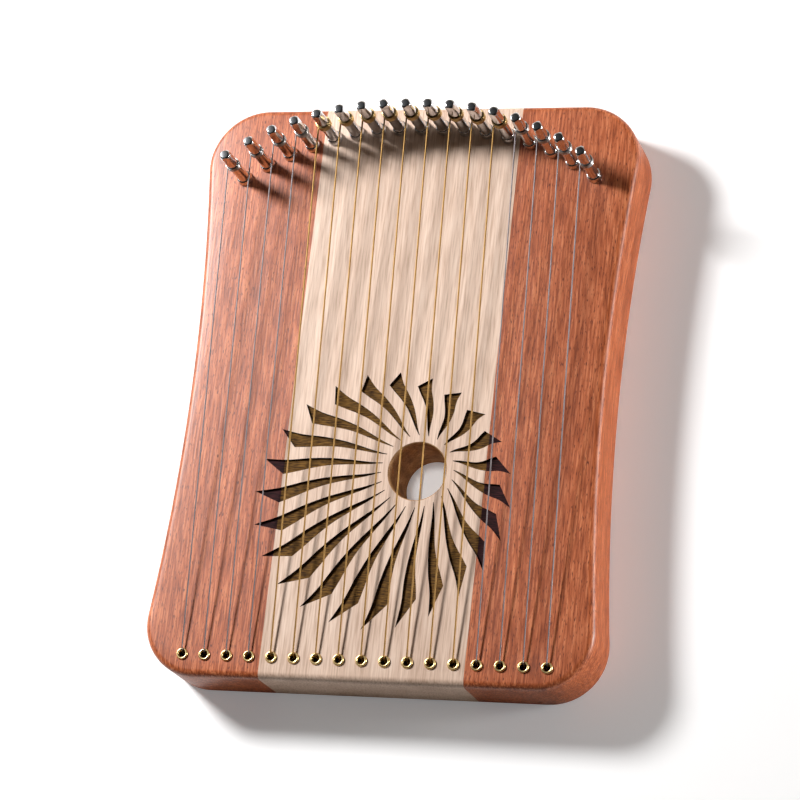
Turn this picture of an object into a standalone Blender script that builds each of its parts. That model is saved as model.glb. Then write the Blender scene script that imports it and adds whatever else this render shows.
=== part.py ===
# Lap harp: a solid board glued from three strips, with one string to each tuning pin.
# Metres, +Z up. The harp lies on its back, its origin in the middle of the back face.
import bpy
import bmesh
import math
from mathutils import Matrix, Vector

# Strings
string_count = 17
plain_strings_each_side = 4
string_pitch = 0.010
plain_string_diameter = 0.0006
wound_string_diameter = 0.00075
coil_turns = 3
coil_points_per_turn = 8
coil_spacing = 0.00045
coil_above_face = 0.0152
clearance = 0.0003

# Board
board_thickness = 0.028
side_margin = 0.0131
bottom_margin = 0.0093
top_margin = 0.0100
eyelets_to_middle_pin = 0.2407
side_arc_radius = 0.950
bottom_corner_radius = 0.024
top_corner_radius = 0.026
front_edge_radius = 0.003
back_edge_radius = 0.002
glue_joint = 0.0003

# Sound hole and sunburst carving
rosette_above_eyelets = 0.0703
rosette_radius = 0.057
sound_hole_radius = 0.0127
sound_hole_offset = (0.0146, 0.0128)
sound_hole_chamfer = 0.0004
sound_hole_rim = 0.0033
blade_count = 24
first_blade_angle = 103.0
carving_depth = 0.0010
# Each edge of a blade: share of the way from the inner ring to the outer one, and degrees
# round from the blade's own direction.
blade_leading_edge = ((0.00, 4.2), (0.12, 2.9), (0.26, 1.1), (0.42, 0.0), (0.60, -0.1),
                      (0.80, 0.3), (1.00, -0.4))
blade_trailing_edge = ((0.80, 7.6), (0.68, 6.3), (0.56, 4.5), (0.42, 3.1), (0.26, 3.7),
                       (0.12, 5.0), (0.00, 5.3))

# Tuning pins
pin_radius = 0.0025
pin_above_face = 0.028
wood_under_pin = 0.008
pin_arc_drop = 0.0233
pin_arc_power = 2.4
pin_end_round = 0.0012
pin_head_length = 0.0085
pin_head_width = 0.0039
pin_tip_radius = 0.0020
pin_tip_length = 0.0006
pin_shoulder_height = 0.0026
pin_shoulder_foot_radius = 0.0035
pin_shoulder_top_radius = 0.0030
# How far each square head is turned from lying square to the board, left to right.
pin_head_turns = (10, 17, 20, 17, -1, 5, 8, 37, 30, 5, -7, -8, -13, 32, 28, 26, 24)

# Eyelets and string anchors
eyelet_bore_radius = 0.0014
eyelet_wall = 0.00035
eyelet_flange_radius = 0.0026
eyelet_flange_height = 0.00075
eyelet_rim_reach = 0.0005
eyelet_rim_drop = 0.0003
eyelet_barrel_length = 0.005
anchor_hole_radius = 0.0012
anchor_radius = 0.0019
anchor_length = 0.0036
anchor_waist_radius = 0.00145
anchor_pocket_depth = 0.0048

# Facets
turned_steps = 10
eyelet_steps = 8
string_hole_steps = 8
sound_hole_steps = 32
corner_steps = 7
side_steps = 10
edge_steps = 3

# Worked out from the sizes above
bronze_count = string_count - 2 * plain_strings_each_side
maple_width = bronze_count * string_pitch
string_span = (string_count - 1) * string_pitch
waist_half_width = string_span / 2 + side_margin
body_length = bottom_margin + eyelets_to_middle_pin + top_margin
face = board_thickness
eyelet_y = -body_length / 2 + bottom_margin
middle_pin_y = body_length / 2 - top_margin
rosette_centre = Vector((0.0005, eyelet_y + rosette_above_eyelets))
sound_hole_centre = rosette_centre + Vector(sound_hole_offset)
blade_inner_radius = sound_hole_radius + sound_hole_rim
pin_depth = board_thickness - wood_under_pin


def start_scene():
    for old in list(bpy.data.objects):
        bpy.data.objects.remove(old, do_unlink=True)
    parts = bpy.data.collections.new("lap_harp")
    cutters = bpy.data.collections.new("cutters")
    for collection in (parts, cutters):
        bpy.context.scene.collection.children.link(collection)
    return parts, cutters


def make_material(name, color, roughness, metallic):
    material = bpy.data.materials.new(name)
    material.use_nodes = True
    shader = material.node_tree.nodes["Principled BSDF"]
    shader.inputs["Base Color"].default_value = (*color, 1.0)
    shader.inputs["Roughness"].default_value = roughness
    shader.inputs["Metallic"].default_value = metallic
    return material


def add_object(name, data, collection, material=None, location=(0, 0, 0)):
    piece = bpy.data.objects.new(name, data)
    piece.location = location
    collection.objects.link(piece)
    if material and not data.materials:
        data.materials.append(material)
    return piece


def make_cutter(piece):
    piece.hide_render = True
    piece.display_type = "WIRE"


def evaluated_mesh(piece, name):
    """A closed mesh of the object as the viewport shows it, in its own space."""
    bpy.context.view_layer.update()
    graph = bpy.context.evaluated_depsgraph_get()
    mesh = bpy.data.meshes.new_from_object(piece.evaluated_get(graph))
    mesh.name = name
    build = bmesh.new()
    build.from_mesh(mesh)
    bmesh.ops.remove_doubles(build, verts=build.verts, dist=0.000001)
    build.to_mesh(mesh)
    build.free()
    return mesh


def turned_mesh(name, profile, steps, ring=False):
    """Turn a profile of (radius, height) about Z; it runs down the outer side."""
    mesh = bpy.data.meshes.new(name)
    points = [(radius, 0.0, height) for radius, height in profile]
    edges = [(i, i + 1) for i in range(len(points) - 1)]
    if ring:
        edges.append((len(points) - 1, 0))
    mesh.from_pydata(points, edges, [])
    blank = bpy.data.objects.new(name + "_profile", mesh)
    bpy.context.scene.collection.objects.link(blank)
    screw = blank.modifiers.new("Screw", "SCREW")
    screw.axis = "Z"
    screw.steps = steps
    screw.render_steps = steps
    screw.use_merge_vertices = True
    screw.merge_threshold = 0.00001
    turned = evaluated_mesh(blank, name)
    bpy.data.objects.remove(blank, do_unlink=True)
    turned.shade_smooth()
    turned.set_sharp_from_angle(angle=math.radians(35))
    return turned


def copies_mesh(name, mesh, places):
    """One cutting mesh that holds a copy of a shape at each place."""
    group = bmesh.new()
    for place in places:
        copy = mesh.copy()
        copy.transform(Matrix.Translation(place))
        group.from_mesh(copy)
        bpy.data.meshes.remove(copy)
    joined = bpy.data.meshes.new(name)
    group.to_mesh(joined)
    group.free()
    return joined


def flat_mesh(name, outlines, low, high):
    """Closed prisms between two heights, one for each outline."""
    curve = bpy.data.curves.new(name, "CURVE")
    curve.dimensions = "2D"
    curve.fill_mode = "BOTH"
    curve.extrude = (high - low) / 2
    for outline in outlines:
        spline = curve.splines.new("POLY")
        spline.points.add(len(outline) - 1)
        for point, (x, y) in zip(spline.points, outline):
            point.co = (x, y, 0.0, 1.0)
        spline.use_cyclic_u = True
    blank = bpy.data.objects.new(name + "_curve", curve)
    bpy.context.scene.collection.objects.link(blank)
    mesh = evaluated_mesh(blank, name)
    bpy.data.objects.remove(blank, do_unlink=True)
    mesh.transform(Matrix.Translation((0, 0, (low + high) / 2)))
    return mesh


def tube_mesh(name, points, diameter):
    curve = bpy.data.curves.new(name, "CURVE")
    curve.dimensions = "3D"
    curve.bevel_depth = diameter / 2
    curve.bevel_resolution = 1
    curve.use_fill_caps = True
    spline = curve.splines.new("POLY")
    spline.points.add(len(points) - 1)
    for point, place in zip(spline.points, points):
        point.co = (*place, 1.0)
    blank = bpy.data.objects.new(name + "_curve", curve)
    bpy.context.scene.collection.objects.link(blank)
    mesh = evaluated_mesh(blank, name)
    bpy.data.objects.remove(blank, do_unlink=True)
    mesh.shade_smooth()
    return mesh


def arc_points(centre, radius, start, end, steps):
    angles = [start + (end - start) * i / steps for i in range(steps + 1)]
    return [(centre[0] + radius * math.cos(a), centre[1] + radius * math.sin(a)) for a in angles]


def corner_arc(radius, end):
    """Centre of a corner that touches an end edge and the hollow side, and its side angle."""
    side_centre_x = waist_half_width + side_arc_radius
    centre_y = end * (body_length / 2 - radius)
    reach = side_arc_radius + radius
    centre_x = side_centre_x - math.sqrt(reach ** 2 - centre_y ** 2)
    side_angle = math.atan2(-centre_y, side_centre_x - centre_x)
    return (centre_x, centre_y), side_angle


def board_outline():
    """The whole face, from the bottom right corner round to the bottom left one."""
    low_centre, low_angle = corner_arc(bottom_corner_radius, -1)
    high_centre, high_angle = corner_arc(top_corner_radius, 1)
    right = arc_points(low_centre, bottom_corner_radius, -math.pi / 2, low_angle, corner_steps)
    side_centre = (waist_half_width + side_arc_radius, 0.0)
    side = arc_points(side_centre, side_arc_radius, math.pi + low_angle,
                      math.pi + high_angle, side_steps)
    right += side[1:-1]
    right += arc_points(high_centre, top_corner_radius, high_angle, math.pi / 2, corner_steps)
    left = [(-x, y) for x, y in reversed(right)]
    return right + left


def board_blank():
    """The board before it is cut into strips: the outline with rounded front and back rims."""
    mesh = flat_mesh("board_blank", [board_outline()], 0.0, board_thickness)
    blank = bmesh.new()
    blank.from_mesh(mesh)
    for height in (0.0, board_thickness):
        cap = [f for f in blank.faces if all(abs(v.co.z - height) < 0.0001 for v in f.verts)]
        bmesh.ops.dissolve_faces(blank, faces=cap)
    for height, radius in ((board_thickness, front_edge_radius), (0.0, back_edge_radius)):
        rim = [e for e in blank.edges if all(abs(v.co.z - height) < 0.0001 for v in e.verts)]
        bmesh.ops.bevel(blank, geom=rim, offset=radius, offset_type="OFFSET",
                        segments=edge_steps, profile=0.5, affect="EDGES")
    blank.to_mesh(mesh)
    blank.free()
    return mesh


def pin_place(index):
    """Foot of a tuning pin on the face: the pins stand on an arc that is highest midway."""
    share = (index - (string_count - 1) / 2) / ((string_count - 1) / 2)
    x = share * string_span / 2
    y = middle_pin_y - pin_arc_drop * abs(share) ** pin_arc_power
    return Vector((x, y, face))


def eyelet_place(index):
    x = (index - (string_count - 1) / 2) * string_pitch
    return Vector((x, eyelet_y, face))


def string_diameter(index):
    plain = min(index, string_count - 1 - index) < plain_strings_each_side
    return plain_string_diameter if plain else wound_string_diameter


def coil_radius(index):
    return pin_radius + clearance + string_diameter(index) / 2


def blade_outline(index):
    angle = first_blade_angle - index * 360.0 / blade_count
    outline = []
    for share, turn in blade_leading_edge + blade_trailing_edge:
        centre = sound_hole_centre.lerp(rosette_centre, share)
        radius = blade_inner_radius + (rosette_radius - blade_inner_radius) * share
        bearing = math.radians(angle + turn)
        outline.append((centre.x + radius * math.cos(bearing),
                        centre.y + radius * math.sin(bearing)))
    return outline


def make_cutters(cutters):
    over = 0.002
    pin_hole_radius = (pin_radius + clearance) / math.cos(math.pi / turned_steps)
    pin_hole = turned_mesh("pin_hole", (
        (0.0, over), (pin_hole_radius, over),
        (pin_hole_radius, -pin_depth - clearance), (0.0, -pin_depth - clearance)), turned_steps)
    round_up = 1 / math.cos(math.pi / string_hole_steps)
    eyelet_hole = (eyelet_bore_radius + eyelet_wall + clearance) * round_up
    pocket = math.hypot(anchor_radius, anchor_length / 2) + clearance
    eyelet_floor = -eyelet_barrel_length - clearance
    string_hole = turned_mesh("string_hole", (
        (0.0, over), (eyelet_hole, over), (eyelet_hole, eyelet_floor),
        (anchor_hole_radius, eyelet_floor),
        (anchor_hole_radius, -face + anchor_pocket_depth),
        (pocket * round_up, -face + anchor_pocket_depth),
        (pocket * round_up, -face - over), (0.0, -face - over)), string_hole_steps)
    flare = sound_hole_chamfer + over
    sound_hole = turned_mesh("sound_hole", (
        (0.0, face + over), (sound_hole_radius + flare, face + over),
        (sound_hole_radius, face - sound_hole_chamfer), (sound_hole_radius, sound_hole_chamfer),
        (sound_hole_radius + flare, -over), (0.0, -over)), sound_hole_steps)
    pins = [pin_place(i) for i in range(string_count)]
    eyelets = [eyelet_place(i) for i in range(string_count)]
    blades = [blade_outline(i) for i in range(blade_count)]
    tools = (
        add_object("cut_pin_holes", copies_mesh("cut_pin_holes", pin_hole, pins), cutters),
        add_object("cut_string_holes", copies_mesh("cut_string_holes", string_hole, eyelets),
                   cutters),
        add_object("cut_sound_hole", sound_hole, cutters, location=(*sound_hole_centre, 0.0)),
        add_object("cut_blades", flat_mesh("cut_blades", blades, face - carving_depth,
                                           face + over), cutters))
    for tool in tools:
        make_cutter(tool)
    return tools


def make_strip_box(name, low, high, cutters):
    build = bmesh.new()
    bmesh.ops.create_cube(build, size=1.0)
    size = Vector((high - low, body_length * 1.2, board_thickness * 2))
    middle = Vector(((low + high) / 2, 0.0, board_thickness / 2))
    bmesh.ops.scale(build, vec=size, verts=build.verts)
    bmesh.ops.translate(build, vec=middle, verts=build.verts)
    mesh = bpy.data.meshes.new(name)
    build.to_mesh(mesh)
    build.free()
    box = add_object(name, mesh, cutters)
    make_cutter(box)
    return box


def make_boards(parts, cutters, mahogany, maple):
    blank = board_blank()
    tools = make_cutters(cutters)
    outside = waist_half_width * 1.5
    joint = maple_width / 2
    strips = (("left_board", -outside, -joint - glue_joint / 2, mahogany),
              ("centre_board", -joint + glue_joint / 2, joint - glue_joint / 2, maple),
              ("right_board", joint + glue_joint / 2, outside, mahogany))
    for name, low, high, wood in strips:
        board = add_object(name, blank.copy(), parts, wood)
        strip = make_strip_box("strip_" + name, low, high, cutters)
        cut = board.modifiers.new("Strip", "BOOLEAN")
        cut.operation = "INTERSECT"
        cut.object = strip
        for tool in tools:
            cut = board.modifiers.new(tool.name, "BOOLEAN")
            cut.operation = "DIFFERENCE"
            cut.object = tool


def pin_profile():
    """The round pin from its domed end down to its tip in the wood."""
    round_centre = (pin_radius - pin_end_round, pin_above_face - pin_end_round)
    dome = arc_points(round_centre, pin_end_round, math.pi / 2, 0.0, edge_steps)
    return ((0.0, pin_above_face), *dome,
            (pin_radius, pin_shoulder_height), (pin_shoulder_top_radius, pin_shoulder_height),
            (pin_shoulder_foot_radius, clearance + pin_shoulder_height / 4),
            (pin_shoulder_foot_radius, clearance), (pin_radius, clearance),
            (pin_radius, -pin_depth + pin_tip_length), (pin_tip_radius, -pin_depth),
            (0.0, -pin_depth))


def head_profile():
    """What the tapered square head leaves standing: wide below the flats' ends."""
    over = 0.001
    taper = (pin_radius - pin_head_width / 2) / pin_head_length
    low = pin_head_length * 1.2
    corner = math.sqrt(2)
    end_radius = (pin_head_width / 2 - taper * over) * corner
    low_radius = (pin_head_width / 2 + taper * low) * corner
    wide = pin_shoulder_foot_radius * 2
    return ((0.0, pin_above_face + over), (end_radius, pin_above_face + over),
            (low_radius, pin_above_face - low), (wide, pin_above_face - low),
            (wide, -pin_depth - over), (0.0, -pin_depth - over))


def make_pin_mesh(cutters):
    """A turned pin whose head has four flats that run out in its round side."""
    head_mesh = turned_mesh("keep_head", head_profile(), 4)
    head_mesh.transform(Matrix.Rotation(math.pi / 4, 4, "Z"))
    head = add_object("keep_head", head_mesh, cutters)
    blank = add_object("pin_blank", turned_mesh("pin_blank", pin_profile(), turned_steps), cutters)
    make_cutter(head)
    make_cutter(blank)
    flats = blank.modifiers.new("Flats", "BOOLEAN")
    flats.operation = "INTERSECT"
    flats.object = head
    mesh = evaluated_mesh(blank, "tuning_pin")
    mesh.set_sharp_from_angle(angle=math.radians(35))
    return mesh


def make_pins(parts, cutters, chrome):
    pin_mesh = make_pin_mesh(cutters)
    for index in range(string_count):
        name = "tuning_pin_%02d" % (index + 1)
        pin = add_object(name, pin_mesh, parts, chrome, pin_place(index))
        pin.rotation_euler.z = math.radians(pin_head_turns[index % len(pin_head_turns)])


def make_eyelets(parts, brass):
    barrel = eyelet_bore_radius + eyelet_wall
    top = clearance + eyelet_flange_height
    eyelet_mesh = turned_mesh("eyelet", (
        (eyelet_bore_radius, top - eyelet_rim_drop), (eyelet_bore_radius + eyelet_rim_reach, top),
        (eyelet_flange_radius, top - eyelet_rim_drop), (eyelet_flange_radius, clearance),
        (barrel, clearance), (barrel, -eyelet_barrel_length),
        (eyelet_bore_radius, -eyelet_barrel_length)), eyelet_steps, ring=True)
    for index in range(string_count):
        add_object("eyelet_%02d" % (index + 1), eyelet_mesh, parts, brass, eyelet_place(index))


def anchor_height():
    return anchor_pocket_depth - clearance - anchor_radius


def winding_points(index):
    """The turns on a pin, from the clipped tail down to where the string leaves."""
    radius = coil_radius(index)
    diameter = string_diameter(index)
    pin = pin_place(index)
    steps = coil_turns * coil_points_per_turn
    turns = []
    for i in range(steps + 1):
        angle = math.pi + 2 * math.pi * i / coil_points_per_turn
        rise = (diameter + coil_spacing) * (steps - i) / coil_points_per_turn
        around = Vector((radius * math.cos(angle), radius * math.sin(angle), 0.0))
        turns.append(pin + around + Vector((0.0, 0.0, coil_above_face + rise)))
    return [turns[0] + Vector((0.0, diameter, 0.0))] + turns


def run_points(index):
    """From the pin's side over the eyelet's rim and through the board to the anchor."""
    eyelet = eyelet_place(index)
    rim_top = clearance + eyelet_flange_height
    rim_reach = eyelet_bore_radius + eyelet_rim_reach
    room = clearance + string_diameter(index) / 2
    inside = eyelet_bore_radius * math.cos(math.pi / eyelet_steps) - room
    narrow = anchor_hole_radius * math.cos(math.pi / string_hole_steps) - room
    over_rim = eyelet + Vector((0.0, rim_reach, rim_top + room * 1.12))
    turning = eyelet + Vector((0.0, (rim_reach + inside) / 2 - 0.0002, rim_top + room * 0.6))
    dipping = eyelet + Vector((0.0, inside, rim_top - eyelet_rim_drop))
    low = eyelet + Vector((0.0, narrow, -eyelet_barrel_length))
    end = Vector((eyelet.x, eyelet.y, anchor_height()))
    return [over_rim, turning, dipping, low, end]


def least_gap(points, diameter):
    """Least space between turns, over points at least half a turn apart."""
    apart = coil_points_per_turn // 2
    gaps = [(a - b).length for i, a in enumerate(points) for b in points[i + apart:]]
    return min(gaps) - diameter


def make_strings(parts, cutters, steel, bronze):
    half = anchor_length / 2
    anchor_mesh = turned_mesh("anchor", (
        (0.0, half), (anchor_radius, half), (anchor_waist_radius, 0.0),
        (anchor_radius, -half), (0.0, -half)), string_hole_steps)
    anchor_mesh.transform(Matrix.Rotation(math.pi / 2, 4, "Y"))
    gaps = []
    for index in range(string_count):
        label = "%02d" % (index + 1)
        diameter = string_diameter(index)
        wire = steel if diameter == plain_string_diameter else bronze
        winding = winding_points(index)
        mesh = tube_mesh("string_" + label, winding + run_points(index), diameter)
        string = add_object("string_" + label, mesh, parts, wire)
        eyelet = eyelet_place(index)
        anchor = add_object("anchor_" + label, anchor_mesh, cutters,
                            location=(eyelet.x, eyelet.y, anchor_height()))
        make_cutter(anchor)
        join = string.modifiers.new("Anchor", "BOOLEAN")
        join.operation = "UNION"
        join.object = anchor
        gaps.append(least_gap(winding, diameter))
    print("least gap between the turns on a pin: %.2f mm" % (min(gaps) * 1000))


def main():
    parts, cutters = start_scene()
    mahogany = make_material("mahogany", (0.42, 0.13, 0.065), 0.5, 0.0)
    maple = make_material("maple", (0.78, 0.62, 0.48), 0.5, 0.0)
    chrome = make_material("chrome", (0.80, 0.80, 0.82), 0.12, 1.0)
    brass = make_material("brass", (0.82, 0.65, 0.32), 0.25, 1.0)
    steel = make_material("steel", (0.72, 0.71, 0.70), 0.3, 1.0)
    bronze = make_material("bronze", (0.75, 0.55, 0.28), 0.35, 1.0)
    make_boards(parts, cutters, mahogany, maple)
    make_pins(parts, cutters, chrome)
    make_eyelets(parts, brass)
    make_strings(parts, cutters, steel, bronze)


main()
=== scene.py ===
import bpy
import bmesh
import math
from mathutils import Matrix, Vector


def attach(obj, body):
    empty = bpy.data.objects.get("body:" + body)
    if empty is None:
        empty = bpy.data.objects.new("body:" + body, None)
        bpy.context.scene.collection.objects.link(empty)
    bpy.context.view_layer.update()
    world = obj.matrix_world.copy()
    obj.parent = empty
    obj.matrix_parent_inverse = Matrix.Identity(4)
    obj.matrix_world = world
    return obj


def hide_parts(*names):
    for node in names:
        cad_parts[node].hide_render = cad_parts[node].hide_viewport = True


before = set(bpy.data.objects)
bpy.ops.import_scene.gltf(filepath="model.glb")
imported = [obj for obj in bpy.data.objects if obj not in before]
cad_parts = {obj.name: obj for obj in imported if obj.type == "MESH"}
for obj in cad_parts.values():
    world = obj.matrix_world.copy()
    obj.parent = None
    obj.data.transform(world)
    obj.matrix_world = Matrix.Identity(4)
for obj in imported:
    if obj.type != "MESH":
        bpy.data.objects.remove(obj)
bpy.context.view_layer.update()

print("frame loaded, %d nodes" % len(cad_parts))

# sizes that several pieces share, in metres; y runs up the strings and z out of the face
harp = {
    "face": 0.028,
    "length": 0.260,
    "eyeletY": -0.1207,
    "middlePinY": 0.1200,
    "strings": 17,
    "middleString": 8,
    "plainEachSide": 4,
    "pitch": 0.010,
    "plainWire": 0.0006,
    "woundWire": 0.00075,
    "pinArcDrop": 0.0233,
    "pinArcPower": 2.4,
}


def pinPlace(index):
    middle = harp["middleString"]
    share = (index - middle) / middle
    y = harp["middlePinY"] - harp["pinArcDrop"] * abs(share) ** harp["pinArcPower"]
    return Vector((share * middle * harp["pitch"], y, harp["face"]))


def eyeletPlace(index):
    return Vector(((index - harp["middleString"]) * harp["pitch"], harp["eyeletY"], harp["face"]))


def isPlain(index):
    return min(index, harp["strings"] - 1 - index) < harp["plainEachSide"]


def wireOf(index):
    return harp["plainWire"] if isPlain(index) else harp["woundWire"]


# materials

def startMaterial(name, color, roughness, metallic=0.0):
    material = bpy.data.materials.new(name)
    material.use_nodes = True
    shader = material.node_tree.nodes["Principled BSDF"]
    shader.inputs["Base Color"].default_value = (*color, 1.0)
    shader.inputs["Roughness"].default_value = roughness
    shader.inputs["Metallic"].default_value = metallic
    return material, material.node_tree, shader


def stretchedNoise(tree, stretch, scale, detail=3.0, distortion=0.0):
    place = tree.nodes.new("ShaderNodeTexCoord")
    mapping = tree.nodes.new("ShaderNodeMapping")
    mapping.inputs["Scale"].default_value = stretch
    noise = tree.nodes.new("ShaderNodeTexNoise")
    noise.inputs["Scale"].default_value = scale
    noise.inputs["Detail"].default_value = detail
    noise.inputs["Distortion"].default_value = distortion
    tree.links.new(place.outputs["Object"], mapping.inputs["Vector"])
    tree.links.new(mapping.outputs["Vector"], noise.inputs["Vector"])
    return noise.outputs["Fac"]


def ramp(tree, fac, stops):
    node = tree.nodes.new("ShaderNodeValToRGB")
    elements = node.color_ramp.elements
    for i, (place, color) in enumerate(stops):
        element = elements[i] if i < 2 else elements.new(place)
        element.position = place
        element.color = (*color, 1.0)
    tree.links.new(fac, node.inputs["Fac"])
    return node.outputs["Color"]


# the mix node keeps its two colours in inputs 6 and 7 and the mixed one in output 2
def mixColor(tree, kind, fac, first, second):
    node = tree.nodes.new("ShaderNodeMix")
    node.data_type = "RGBA"
    node.blend_type = kind
    if isinstance(fac, float):
        node.inputs["Factor"].default_value = fac
    else:
        tree.links.new(fac, node.inputs["Factor"])
    for value, socket in ((first, 6), (second, 7)):
        if isinstance(value, tuple):
            node.inputs[socket].default_value = (*value, 1.0)
        else:
            tree.links.new(value, node.inputs[socket])
    return node.outputs[2]


def addBump(tree, shader, height, strength, distance):
    bump = tree.nodes.new("ShaderNodeBump")
    bump.inputs["Strength"].default_value = strength
    bump.inputs["Distance"].default_value = distance
    tree.links.new(height, bump.inputs["Height"])
    tree.links.new(bump.outputs["Normal"], shader.inputs["Normal"])


mahoganyLook = {
    "dark": (0.250, 0.052, 0.014),
    "middle": (0.450, 0.112, 0.038),
    "light": (0.640, 0.210, 0.090),
    "roughness": 0.40,
    "streakStretch": (1.0, 0.06, 1.0),
    "streakScale": 1350,
    "streakDistortion": 0.15,
    "streakStops": (0.33, 0.50, 0.67),
    "bandStretch": (1.0, 0.05, 1.0),
    "bandScale": 130,
    "bandDistortion": 0.6,
    "bandStops": ((0.30, (0.80, 0.76, 0.74)), (0.70, (1.10, 1.12, 1.12))),
    "pore": (0.120, 0.022, 0.008),
    "bump": (0.25, 0.0002),
}
mapleLook = {
    "dark": (0.500, 0.335, 0.240),
    "middle": (0.700, 0.510, 0.395),
    "light": (0.800, 0.620, 0.500),
    "roughness": 0.50,
    "streakStretch": (1.0, 0.05, 1.0),
    "streakScale": 1250,
    "streakDistortion": 0.12,
    "streakStops": (0.30, 0.50, 0.70),
    "bandStretch": (1.0, 0.035, 1.0),
    "bandScale": 95,
    "bandDistortion": 0.8,
    "bandStops": ((0.32, (0.88, 0.84, 0.81)), (0.66, (1.05, 1.05, 1.05))),
    "pore": None,
    "bump": (0.12, 0.0001),
}


# streaks and broad bands run along y; open pores lie over them where the wood has any
def makeWood(name, look):
    material, tree, shader = startMaterial(name, look["middle"], look["roughness"])
    streaks = stretchedNoise(tree, look["streakStretch"], look["streakScale"], 5.0,
                             look["streakDistortion"])
    shades = (look["dark"], look["middle"], look["light"])
    color = ramp(tree, streaks, tuple(zip(look["streakStops"], shades)))
    bands = stretchedNoise(tree, look["bandStretch"], look["bandScale"], 3.0,
                           look["bandDistortion"])
    color = mixColor(tree, "MULTIPLY", 1.0, color, ramp(tree, bands, look["bandStops"]))
    if look["pore"]:
        pores = stretchedNoise(tree, (1.0, 0.16, 1.0), 2600, 1.0)
        poreMask = ramp(tree, pores, ((0.60, (0.0, 0.0, 0.0)), (0.72, (1.0, 1.0, 1.0))))
        color = mixColor(tree, "MIX", poreMask, color, look["pore"])
    tree.links.new(color, shader.inputs["Base Color"])
    addBump(tree, shader, streaks, *look["bump"])
    return material


# char lies in short lines across the grain, with darker blotches
def makeBurnt(name, dark, light, roughness=0.75):
    material, tree, shader = startMaterial(name, light, roughness)
    lines = stretchedNoise(tree, (0.12, 1.0, 1.0), 2300, 2.0)
    color = ramp(tree, lines, ((0.36, dark), (0.66, light)))
    blotches = stretchedNoise(tree, (1.0, 1.0, 1.0), 260, 3.0)
    blotchColor = ramp(tree, blotches, ((0.32, (0.62, 0.60, 0.56)), (0.68, (1.15, 1.15, 1.15))))
    color = mixColor(tree, "MULTIPLY", 1.0, color, blotchColor)
    tree.links.new(color, shader.inputs["Base Color"])
    addBump(tree, shader, lines, 0.4, 0.0002)
    shader.inputs["Specular IOR Level"].default_value = 0.15
    return material


def makeMetal(name, color, roughness, grime):
    material, tree, shader = startMaterial(name, color, roughness, 1.0)
    cloud = stretchedNoise(tree, (1.0, 1.0, 1.0), 420, 4.0)
    tint = ramp(tree, cloud, ((0.35, tuple(c * grime for c in color)), (0.65, color)))
    tree.links.new(tint, shader.inputs["Base Color"])
    return material


mahogany = makeWood("mahogany", mahoganyLook)
maple = makeWood("maple", mapleLook)
burntMaple = makeBurnt("burntMaple", (0.045, 0.018, 0.003), (0.215, 0.105, 0.020))
burntMahogany = makeBurnt("burntMahogany", (0.010, 0.002, 0.003), (0.050, 0.010, 0.012))
charredEdge = makeBurnt("charredEdge", (0.006, 0.003, 0.002), (0.022, 0.011, 0.006))
holeWall = makeBurnt("holeWall", (0.400, 0.205, 0.085), (0.640, 0.390, 0.200), 0.6)
chrome = makeMetal("chrome", (0.78, 0.80, 0.84), 0.16, 0.85)
brass = makeMetal("brass", (0.96, 0.74, 0.36), 0.32, 0.82)
# painted shade: the string runs over the board use a much darker copy of the wire colour than the
# same wire wound on the pins below
steelWirePaintedShade = makeMetal("steelWirePaintedShade", (0.17, 0.15, 0.155), 0.48, 0.85)
bronzeWirePaintedShade = makeMetal("bronzeWirePaintedShade", (0.30, 0.175, 0.060), 0.50, 0.80)
windingWire = makeMetal("windingWire", (0.78, 0.54, 0.24), 0.30, 0.75)
windingSteel = makeMetal("windingSteel", (0.60, 0.59, 0.58), 0.28, 0.80)
print("materials made")


# bench helpers

def activate(piece):
    bpy.ops.object.select_all(action="DESELECT")
    piece.select_set(True)
    bpy.context.view_layer.objects.active = piece


def addPiece(name, data):
    piece = bpy.data.objects.new(name, data)
    bpy.context.scene.collection.objects.link(piece)
    return piece


def cut(piece, tool, operation="DIFFERENCE"):
    activate(piece)
    boolean = piece.modifiers.new("Cut", "BOOLEAN")
    boolean.operation = operation
    boolean.object = tool
    bpy.ops.object.modifier_apply(modifier=boolean.name)


def throwAway(piece):
    bpy.data.objects.remove(piece, do_unlink=True)


def weld(piece):
    activate(piece)
    bpy.ops.object.mode_set(mode="EDIT")
    bpy.ops.mesh.select_all(action="SELECT")
    bpy.ops.mesh.remove_doubles(threshold=0.000001)
    bpy.ops.object.mode_set(mode="OBJECT")


# a profile of (radius, z) points swung round z; a ring's profile is closed on itself
def turned(name, profile, steps, ring=False):
    mesh = bpy.data.meshes.new(name)
    edges = [(i, i + 1) for i in range(len(profile) - 1)]
    if ring:
        edges.append((len(profile) - 1, 0))
    mesh.from_pydata([(r, 0.0, z) for r, z in profile], edges, [])
    piece = addPiece(name, mesh)
    activate(piece)
    screw = piece.modifiers.new("Turn", "SCREW")
    screw.steps = steps
    screw.render_steps = steps
    screw.use_merge_vertices = True
    screw.merge_threshold = 0.00001
    bpy.ops.object.modifier_apply(modifier=screw.name)
    weld(piece)
    return piece


def prism(name, outlines, low, high):
    curve = bpy.data.curves.new(name, "CURVE")
    curve.dimensions = "2D"
    curve.fill_mode = "BOTH"
    curve.extrude = (high - low) / 2
    for outline in outlines:
        spline = curve.splines.new("POLY")
        spline.points.add(len(outline) - 1)
        for point, (x, y) in zip(spline.points, outline):
            point.co = (x, y, 0.0, 1.0)
        spline.use_cyclic_u = True
    piece = addPiece(name, curve)
    activate(piece)
    bpy.ops.object.convert(target="MESH")
    piece = bpy.context.active_object
    piece.data.transform(Matrix.Translation((0, 0, (low + high) / 2)))
    weld(piece)
    return piece


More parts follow.
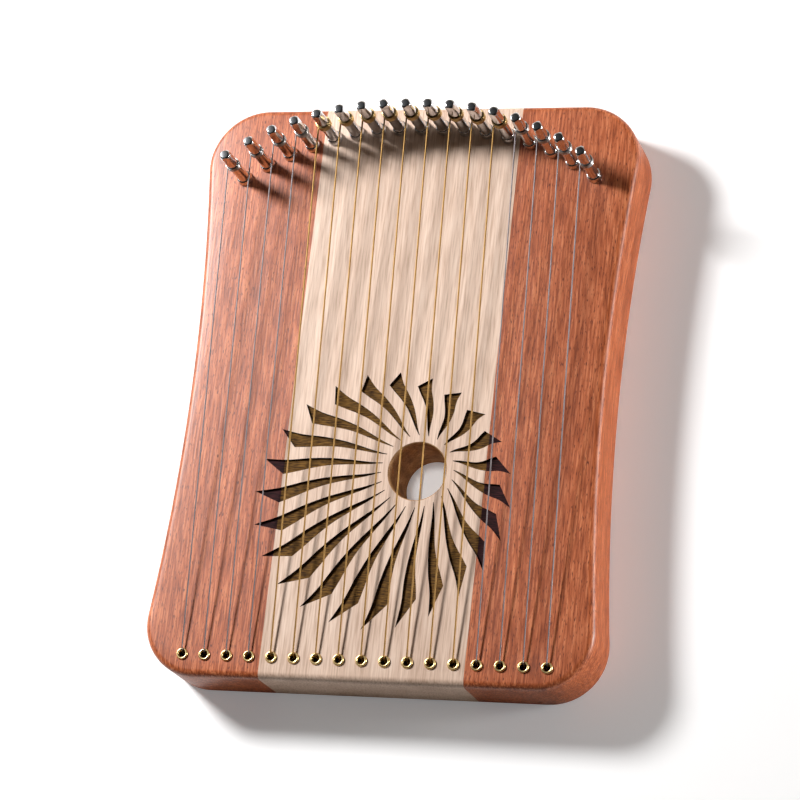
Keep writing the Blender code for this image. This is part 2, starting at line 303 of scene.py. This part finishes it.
def wirePiece(name, points, diameter):
    curve = bpy.data.curves.new(name, "CURVE")
    curve.dimensions = "3D"
    curve.bevel_depth = diameter / 2
    curve.bevel_resolution = 3
    curve.use_fill_caps = True
    spline = curve.splines.new("POLY")
    spline.points.add(len(points) - 1)
    for point, place in zip(spline.points, points):
        point.co = (*place, 1.0)
    piece = addPiece(name, curve)
    activate(piece)
    bpy.ops.object.convert(target="MESH")
    piece = bpy.context.active_object
    weld(piece)
    piece.data.shade_smooth()
    return piece


def finishPiece(piece, body, materials, replaced, angle):
    activate(piece)
    bpy.ops.object.shade_smooth_by_angle(angle=math.radians(angle))
    if not piece.data.materials:
        for material in materials:
            piece.data.materials.append(material)
    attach(piece, body)
    if replaced:
        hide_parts(*replaced)


def arc(centre, radius, start, end, steps):
    angles = [start + (end - start) * i / steps for i in range(steps + 1)]
    return [(centre[0] + radius * math.cos(a), centre[1] + radius * math.sin(a)) for a in angles]


# the board: one blank with rounded rims, sawn into three strips, then drilled and carved
board = {
    "waistHalfWidth": 0.0931,
    "sideArcRadius": 0.950,
    "bottomCorner": 0.024,
    "topCorner": 0.026,
    "frontRound": 0.003,
    "backRound": 0.002,
    "mapleHalfWidth": 0.045,
    "cornerSteps": 20,
    "sideSteps": 40,
    "roundSteps": 6,
    "sawnEnd": 0.15,
}
drill = {
    "over": 0.002,
    "pinRadius": 0.0026,
    "pinDepth": 0.0203,
    "eyeletRadius": 0.0019,
    "eyeletDepth": 0.0053,
    "stringRadius": 0.0012,
    "pocketRadius": 0.0030,
    "pocketDepth": 0.0048,
}
# each blade's sides are pairs of share of the way out and turn in degrees
rosette = {
    "centre": Vector((0.0005, -0.0504)),
    "radius": 0.057,
    "holeCentre": Vector((0.0151, -0.0376)),
    "holeRadius": 0.0127,
    "holeChamfer": 0.0004,
    "innerRadius": 0.0160,
    "blades": 24,
    "firstAngle": 103.0,
    "depth": 0.0010,
    "leading": ((0.00, 4.2), (0.12, 2.3), (0.26, 0.0), (0.42, -1.3), (0.60, -1.1), (0.80, 0.1),
                (1.00, -0.4)),
    "trailing": ((0.80, 7.9), (0.68, 6.9), (0.56, 5.4), (0.42, 4.2), (0.26, 4.5), (0.12, 5.4),
                 (0.00, 5.3)),
}


def cornerArc(radius, end):
    sideX = board["waistHalfWidth"] + board["sideArcRadius"]
    y = end * (harp["length"] / 2 - radius)
    x = sideX - math.sqrt((board["sideArcRadius"] + radius) ** 2 - y ** 2)
    return (x, y), math.atan2(-y, sideX - x)


def boardOutline():
    low, lowAngle = cornerArc(board["bottomCorner"], -1)
    high, highAngle = cornerArc(board["topCorner"], 1)
    steps = board["cornerSteps"]
    right = arc(low, board["bottomCorner"], -math.pi / 2, lowAngle, steps)
    sideCentre = (board["waistHalfWidth"] + board["sideArcRadius"], 0.0)
    right += arc(sideCentre, board["sideArcRadius"], math.pi + lowAngle, math.pi + highAngle,
                 board["sideSteps"])[1:-1]
    right += arc(high, board["topCorner"], highAngle, math.pi / 2, steps)
    return right + [(-x, y) for x, y in reversed(right)]


# a smooth line through all the points, five steps from each to the next
def smoothEdge(points):
    between = 5
    result = []
    ends = [points[0]] + list(points) + [points[-1]]
    for a, b, c, d in zip(ends, ends[1:], ends[2:], ends[3:]):
        for i in range(between):
            t = i / between
            result.append(tuple(
                0.5 * (2 * b[k] + (c[k] - a[k]) * t
                       + (2 * a[k] - 5 * b[k] + 4 * c[k] - d[k]) * t ** 2
                       + (3 * b[k] - a[k] - 3 * c[k] + d[k]) * t ** 3) for k in (0, 1)))
    return result + [points[-1]]


def bladeOutline(index):
    angle = rosette["firstAngle"] - index * 360.0 / rosette["blades"]
    outline = []
    for share, turn in smoothEdge(rosette["leading"]) + smoothEdge(rosette["trailing"]):
        centre = rosette["holeCentre"].lerp(rosette["centre"], share)
        radius = rosette["innerRadius"] + (rosette["radius"] - rosette["innerRadius"]) * share
        bearing = math.radians(angle + turn)
        outline.append((centre.x + radius * math.cos(bearing),
                        centre.y + radius * math.sin(bearing)))
    return outline


def roundRim(piece, height, radius):
    activate(piece)
    bpy.ops.object.mode_set(mode="EDIT")
    bpy.ops.mesh.select_all(action="DESELECT")
    bpy.ops.mesh.select_mode(type="EDGE")
    edit = bmesh.from_edit_mesh(piece.data)
    for edge in edit.edges:
        edge.select = all(abs(v.co.z - height) < 0.00001 for v in edge.verts)
    bmesh.update_edit_mesh(piece.data)
    bpy.ops.mesh.bevel(offset=radius, segments=board["roundSteps"], profile=0.5, affect="EDGES")
    bpy.ops.object.mode_set(mode="OBJECT")


def dissolveCap(piece, height):
    activate(piece)
    bpy.ops.object.mode_set(mode="EDIT")
    bpy.ops.mesh.select_all(action="DESELECT")
    bpy.ops.mesh.select_mode(type="FACE")
    edit = bmesh.from_edit_mesh(piece.data)
    for face in edit.faces:
        face.select = all(abs(v.co.z - height) < 0.00001 for v in face.verts)
    bmesh.update_edit_mesh(piece.data)
    bpy.ops.mesh.dissolve_faces()
    bpy.ops.object.mode_set(mode="OBJECT")


def makeBoardBlank():
    blank = prism("boardBlank", [boardOutline()], 0.0, harp["face"])
    for height, radius in ((harp["face"], board["frontRound"]), (0.0, board["backRound"])):
        dissolveCap(blank, height)
        roundRim(blank, height, radius)
    return blank


def makeTools():
    face = harp["face"]
    over = drill["over"]
    pinHole = turned("pinHole", (
        (0, over), (drill["pinRadius"], over), (drill["pinRadius"], -drill["pinDepth"]),
        (0, -drill["pinDepth"])), 32)
    pocketEnd = -face + drill["pocketDepth"]
    stringHole = turned("stringHole", (
        (0, over), (drill["eyeletRadius"], over), (drill["eyeletRadius"], -drill["eyeletDepth"]),
        (drill["stringRadius"], -drill["eyeletDepth"]), (drill["stringRadius"], pocketEnd),
        (drill["pocketRadius"], pocketEnd), (drill["pocketRadius"], -face - over),
        (0, -face - over)), 24)
    flare = rosette["holeChamfer"] + over
    hole = rosette["holeRadius"]
    soundHole = turned("soundHole", (
        (0, face + over), (hole + flare, face + over), (hole, face - rosette["holeChamfer"]),
        (hole, rosette["holeChamfer"]), (hole + flare, -over), (0, -over)), 96)
    soundHole.data.transform(Matrix.Translation((*rosette["holeCentre"], 0.0)))
    drills = []
    for model, places in ((pinHole, pinPlace), (stringHole, eyeletPlace)):
        for index in range(harp["strings"]):
            copy = addPiece(model.name + "Copy", model.data.copy())
            copy.data.transform(Matrix.Translation(places(index)))
            drills.append(copy)
        throwAway(model)
    activate(drills[0])
    for tool in drills:
        tool.select_set(True)
    bpy.ops.object.join()
    blades = prism("blades", [bladeOutline(i) for i in range(rosette["blades"])],
                   face - rosette["depth"], face + over)
    return drills[0], soundHole, blades


# the blades' floors are burnt, their sides charred, and the sound hole's wall is bare wood
def paintFaces(piece, wood, burnt):
    for material in (wood, burnt, charredEdge, holeWall):
        piece.data.materials.append(material)
    face = harp["face"]
    floorHeight = face - rosette["depth"]
    for polygon in piece.data.polygons:
        polygon.material_index = 0
        middle = Vector(polygon.center.xy)
        fromHole = (middle - rosette["holeCentre"]).length
        inRosette = (middle - rosette["centre"]).length < rosette["radius"] + 0.002
        if fromHole < rosette["holeRadius"] + 0.0003 and abs(polygon.normal.z) < 0.9:
            polygon.material_index = 3
        elif inRosette and fromHole > rosette["innerRadius"] - 0.002:
            if abs(polygon.center.z - floorHeight) < 0.00005 and polygon.normal.z > 0.9:
                polygon.material_index = 1
            elif floorHeight < polygon.center.z < face - 0.00001 and abs(polygon.normal.z) < 0.1:
                polygon.material_index = 2


def makeBoards():
    blank = makeBoardBlank()
    tools = makeTools()
    half = board["mapleHalfWidth"]
    end = board["sawnEnd"]
    strips = (("leftStrip", "left_board", -end, -half, mahogany, burntMahogany, "mahogany"),
              ("middleStrip", "centre_board", -half, half, maple, burntMaple, "maple"),
              ("rightStrip", "right_board", half, end, mahogany, burntMahogany, "mahogany"))
    for name, node, low, high, wood, burnt, slot in strips:
        strip = addPiece(name, blank.data.copy())
        bpy.ops.mesh.primitive_cube_add(
            size=1.0, location=((low + high) / 2, 0.0, harp["face"] / 2),
            scale=(high - low, 0.4, 0.1))
        keep = bpy.context.active_object
        cut(strip, keep, "INTERSECT")
        throwAway(keep)
        for tool in tools:
            cut(strip, tool)
        strip.data.materials.clear()
        paintFaces(strip, wood, burnt)
        finishPiece(strip, "harp_board", (), (node,), 30)
    for tool in (*tools, blank):
        throwAway(tool)


makeBoards()
print("board strips cut and carved")

# the tuning pins: a domed end, four flats that taper and a shoulder on the wood
pin = {
    "radius": 0.0025,
    "above": 0.028,
    "depth": 0.020,
    "endRound": 0.0012,
    "headLength": 0.0085,
    "headWidth": 0.0039,
    "shoulderHeight": 0.0026,
    "shoulderFoot": 0.0035,
    "shoulderTop": 0.0030,
    "tipRadius": 0.0020,
    "tipTaper": 0.0006,
    "lift": 0.00002,
    "edge": 0.00012,
    "turns": (10, 17, 20, 17, -1, 5, 8, 37, 30, 5, -7, -8, -13, 32, 28, 26, 24),
}


def makePins():
    radius = pin["radius"]
    roundCentre = (radius - pin["endRound"], pin["above"] - pin["endRound"])
    dome = arc(roundCentre, pin["endRound"], math.pi / 2, 0.0, 8)
    profile = [(0.0, pin["above"])] + dome + [
        (radius, pin["shoulderHeight"] + 0.0002), (radius + 0.0002, pin["shoulderHeight"]),
        (pin["shoulderTop"], pin["shoulderHeight"] - 0.0001),
        (pin["shoulderTop"] + 0.0002, pin["shoulderHeight"] * 0.7),
        (pin["shoulderFoot"], pin["shoulderHeight"] * 0.25), (pin["shoulderFoot"], pin["lift"]),
        (radius, pin["lift"]), (radius, -pin["depth"] + pin["tipTaper"]),
        (pin["tipRadius"], -pin["depth"]), (0.0, -pin["depth"])]
    model = turned("pinModel", profile, 40)
    half = pin["headWidth"] / 2
    taper = (radius - half) / pin["headLength"]
    over = 0.001
    low = pin["headLength"] * 1.2
    corner = math.sqrt(2)
    top = pin["above"]
    keep = turned("keepHead", (
        (0, top + over), ((half - taper * over) * corner, top + over),
        ((half + taper * low) * corner, top - low), (0.008, top - low),
        (0.008, -0.03), (0, -0.03)), 4)
    keep.data.transform(Matrix.Rotation(math.pi / 4, 4, "Z"))
    cut(model, keep, "INTERSECT")
    throwAway(keep)
    activate(model)
    edge = model.modifiers.new("Edge", "BEVEL")
    edge.width = pin["edge"]
    edge.segments = 2
    edge.limit_method = "ANGLE"
    edge.angle_limit = math.radians(18)
    bpy.ops.object.modifier_apply(modifier=edge.name)
    for index in range(harp["strings"]):
        label = "%02d" % (index + 1)
        piece = addPiece("pin" + label, model.data.copy())
        turn = Matrix.Rotation(math.radians(pin["turns"][index]), 4, "Z")
        piece.data.transform(Matrix.Translation(pinPlace(index)) @ turn)
        finishPiece(piece, "pin_" + label, (chrome,), ("tuning_pin_" + label,), 30)
    throwAway(model)


makePins()
print("tuning pins turned")

# the windings turn with their pins, the rest of each string stays on the board
winding = {
    "turns": 4,
    "pointsPerTurn": 28,
    "foot": 0.0152,
    "squeeze": 1.03,
    "clear": 0.00003,
    "tailShare": 0.8,
    "tailY": 0.0012,
}
stringRun = {
    "bendOffset": Vector((0.0, 0.0019, 0.0003)),
    "bendRadius": 0.00058,
    "bendSteps": 8,
    "rimHeight": 0.001,
    "dip": Vector((0.0, 0.0006, -0.004)),
    "endHeight": 0.0026,
}


def windingRadius(index):
    return pin["radius"] + wireOf(index) / 2 + winding["clear"]


def makeWinding(index):
    place = pinPlace(index)
    radius = windingRadius(index)
    steps = winding["turns"] * winding["pointsPerTurn"]
    rise = wireOf(index) * winding["squeeze"]
    points = []
    for i in range(steps + 1):
        angle = math.pi + 2 * math.pi * i / winding["pointsPerTurn"]
        height = winding["foot"] + rise * (steps - i) / winding["pointsPerTurn"]
        points.append(place + Vector((radius * math.cos(angle), radius * math.sin(angle), height)))
    tail = place + Vector((-pin["radius"] * winding["tailShare"], winding["tailY"],
                           winding["foot"] + rise * winding["turns"]))
    return [tail] + points


def makeRun(index):
    place = eyeletPlace(index)
    start = pinPlace(index) + Vector((-windingRadius(index), 0.0, winding["foot"]))
    bendCentre = place + stringRun["bendOffset"]
    bend = stringRun["bendRadius"] + wireOf(index) / 2
    steps = stringRun["bendSteps"]
    points = [start]
    slope = math.atan2(winding["foot"] - stringRun["rimHeight"], start.y - place.y)
    for i in range(steps + 1):
        angle = math.pi / 2 + slope + (math.pi / 2 - slope) * i / steps
        points.append(bendCentre + Vector((0.0, bend * math.cos(angle), bend * math.sin(angle))))
    points.append(place + stringRun["dip"])
    points.append(Vector((place.x, place.y, stringRun["endHeight"])))
    return points


def makeStrings():
    ball = turned("ballModel", (
        (0.0, 0.0018), (0.0016, 0.0018), (0.0019, 0.0015), (0.0019, 0.0009), (0.00145, 0.0004),
        (0.00145, -0.0004), (0.0019, -0.0009), (0.0019, -0.0015), (0.0016, -0.0018),
        (0.0, -0.0018)), 28)
    ball.data.transform(Matrix.Rotation(math.pi / 2, 4, "Y"))
    for index in range(harp["strings"]):
        label = "%02d" % (index + 1)
        # each run gets the darker painted-shade copy of its wire, and each winding gets the wire's
        # own colour
        if isPlain(index):
            wire, coilWire, slot = steelWirePaintedShade, windingSteel, "steel_string"
        else:
            wire, coilWire, slot = bronzeWirePaintedShade, windingWire, "bronze_string"
        coil = wirePiece("winding" + label, makeWinding(index), wireOf(index))
        finishPiece(coil, "pin_" + label, (coilWire,), (), 60)
        run = wirePiece("wire" + label, makeRun(index), wireOf(index))
        finishPiece(run, "harp_board", (wire,), ("string_" + label,), 60)
        end = addPiece("ballEnd" + label, ball.data.copy())
        end.data.transform(Matrix.Translation((
            eyeletPlace(index).x, harp["eyeletY"], stringRun["endHeight"])))
        finishPiece(end, "harp_board", (brass,), (), 35)
    throwAway(ball)


makeStrings()
print("strings wound and strung")

# the eyelets: a rolled rim on the wood and a barrel in the hole
eyelet = {
    "bore": 0.00145,
    "wall": 0.0003,
    "flange": 0.0026,
    "height": 0.00085,
    "length": 0.005,
    "lift": 0.00002,
    "rollSteps": 14,
}


def makeEyelets():
    middle = (eyelet["bore"] + eyelet["flange"]) / 2
    reach = (eyelet["flange"] - eyelet["bore"]) / 2
    steps = eyelet["rollSteps"]
    roll = [(middle - reach * math.cos(a), eyelet["lift"] + eyelet["height"] * math.sin(a))
            for a in [math.pi * i / steps for i in range(steps + 1)]]
    barrel = eyelet["bore"] + eyelet["wall"]
    profile = roll + [(barrel, eyelet["lift"]), (barrel, -eyelet["length"]),
                      (eyelet["bore"], -eyelet["length"])]
    model = turned("eyeletModel", profile, 40, ring=True)
    for index in range(harp["strings"]):
        label = "%02d" % (index + 1)
        piece = addPiece("eyelet" + label, model.data.copy())
        piece.data.transform(Matrix.Translation(eyeletPlace(index)))
        finishPiece(piece, "harp_board", (brass,), ("eyelet_" + label,), 40)
    throwAway(model)


makeEyelets()
print("eyelets pressed in")

# floor, light and camera
studio = {
    "floorSize": 8.0,
    "floorDrop": 0.0004,
    "floorColor": (0.93, 0.93, 0.93),
    "floorGlow": (0.20, 0.20, 0.205, 1.0),
    "keyFrom": Vector((-0.68, 0.38, 0.68)),
    "keyPower": 16.5,
    "keySize": 0.24,
    "rightFrom": Vector((1.3, 0.1, 0.12)),
    "rightPower": 17.0,
    "rightSize": 0.3,
    "holePower": 14.0,
    "holeHalfAngle": math.atan(0.0105),
    "fill": 0.38,
    "lowFill": (1.0, 0.86, 0.70),
    "highFill": (0.03, 0.03, 0.03),
    "nearFill": (0.10, 0.09, 0.08),
}
view = {
    "lens": 142.61,
    "sensor": 36.0,
    "place": (0.41372, -0.41361, 1.25180),
    "right": (0.95296093, 0.10857585, -0.28297836),
    "up": (-0.01294477, 0.94736278, 0.31990030),
    "back": (0.30281662, -0.30118939, 0.90420520),
}


def makeFloor():
    bpy.ops.mesh.primitive_plane_add(size=studio["floorSize"],
                                     location=(0.0, 0.0, -studio["floorDrop"]))
    floor = bpy.context.active_object
    floor.name = "floor"
    material, tree, shader = startMaterial("floorWhite", studio["floorColor"], 0.9)
    rays = tree.nodes.new("ShaderNodeLightPath")
    tree.links.new(rays.outputs["Is Camera Ray"], shader.inputs["Emission Strength"])
    shader.inputs["Emission Color"].default_value = studio["floorGlow"]
    floor.data.materials.append(material)


def addAreaLight(name, place, power, size):
    light = bpy.data.lights.new(name, "AREA")
    light.energy = power
    light.shape = "DISK"
    light.size = size
    lamp = addPiece(name, light)
    lamp.location = place
    lamp.rotation_euler = (-place).to_track_quat("-Z", "Y").to_euler()


# the room is bright low down and behind the harp, dark overhead and where the camera stands
def makeWorld():
    world = bpy.data.worlds.new("studio")
    world.use_nodes = True
    bpy.context.scene.world = world
    tree = world.node_tree
    background = tree.nodes["Background"]
    place = tree.nodes.new("ShaderNodeTexCoord")
    split = tree.nodes.new("ShaderNodeSeparateXYZ")
    tree.links.new(place.outputs["Generated"], split.inputs[0])
    around = ramp(tree, split.outputs["Z"],
                  ((0.50, studio["lowFill"]), (0.72, studio["highFill"])))
    shift = tree.nodes.new("ShaderNodeMath")
    shift.operation = "MULTIPLY_ADD"
    shift.inputs[1].default_value = 0.5
    shift.inputs[2].default_value = 0.5
    tree.links.new(split.outputs["Y"], shift.inputs[0])
    behind = ramp(tree, shift.outputs[0],
                  ((0.25, studio["nearFill"]), (0.60, (1.0, 1.0, 1.0))))
    tree.links.new(mixColor(tree, "MULTIPLY", 1.0, around, behind), background.inputs["Color"])
    background.inputs["Strength"].default_value = studio["fill"]
    white = tree.nodes.new("ShaderNodeBackground")
    white.inputs["Color"].default_value = (1.0, 1.0, 1.0, 1.0)
    mix = tree.nodes.new("ShaderNodeMixShader")
    rays = tree.nodes.new("ShaderNodeLightPath")
    tree.links.new(rays.outputs["Is Camera Ray"], mix.inputs["Fac"])
    tree.links.new(background.outputs[0], mix.inputs[1])
    tree.links.new(white.outputs[0], mix.inputs[2])
    tree.links.new(mix.outputs[0], tree.nodes["World Output"].inputs["Surface"])


# a narrow light straight over the sound hole, for the floor seen through it
def addHoleLight():
    light = bpy.data.lights.new("holeLight", "SPOT")
    light.energy = studio["holePower"]
    light.spot_size = 2 * studio["holeHalfAngle"]
    light.spot_blend = 0.1
    light.shadow_soft_size = 0.002
    lamp = addPiece("holeLight", light)
    lamp.location = (*rosette["holeCentre"], 1.0)


def makeCamera():
    lens = bpy.data.cameras.new("camera")
    lens.lens = view["lens"]
    lens.sensor_width = view["sensor"]
    camera = addPiece("camera", lens)
    turn = Matrix((view["right"], view["up"], view["back"])).transposed().to_4x4()
    camera.matrix_world = Matrix.Translation(view["place"]) @ turn
    bpy.context.scene.camera = camera


makeFloor()
addAreaLight("keyLight", studio["keyFrom"], studio["keyPower"], studio["keySize"])
addAreaLight("rightLight", studio["rightFrom"], studio["rightPower"], studio["rightSize"])
addHoleLight()
makeWorld()
makeCamera()
bpy.context.scene.view_settings.view_transform = "Standard"
print("studio set")
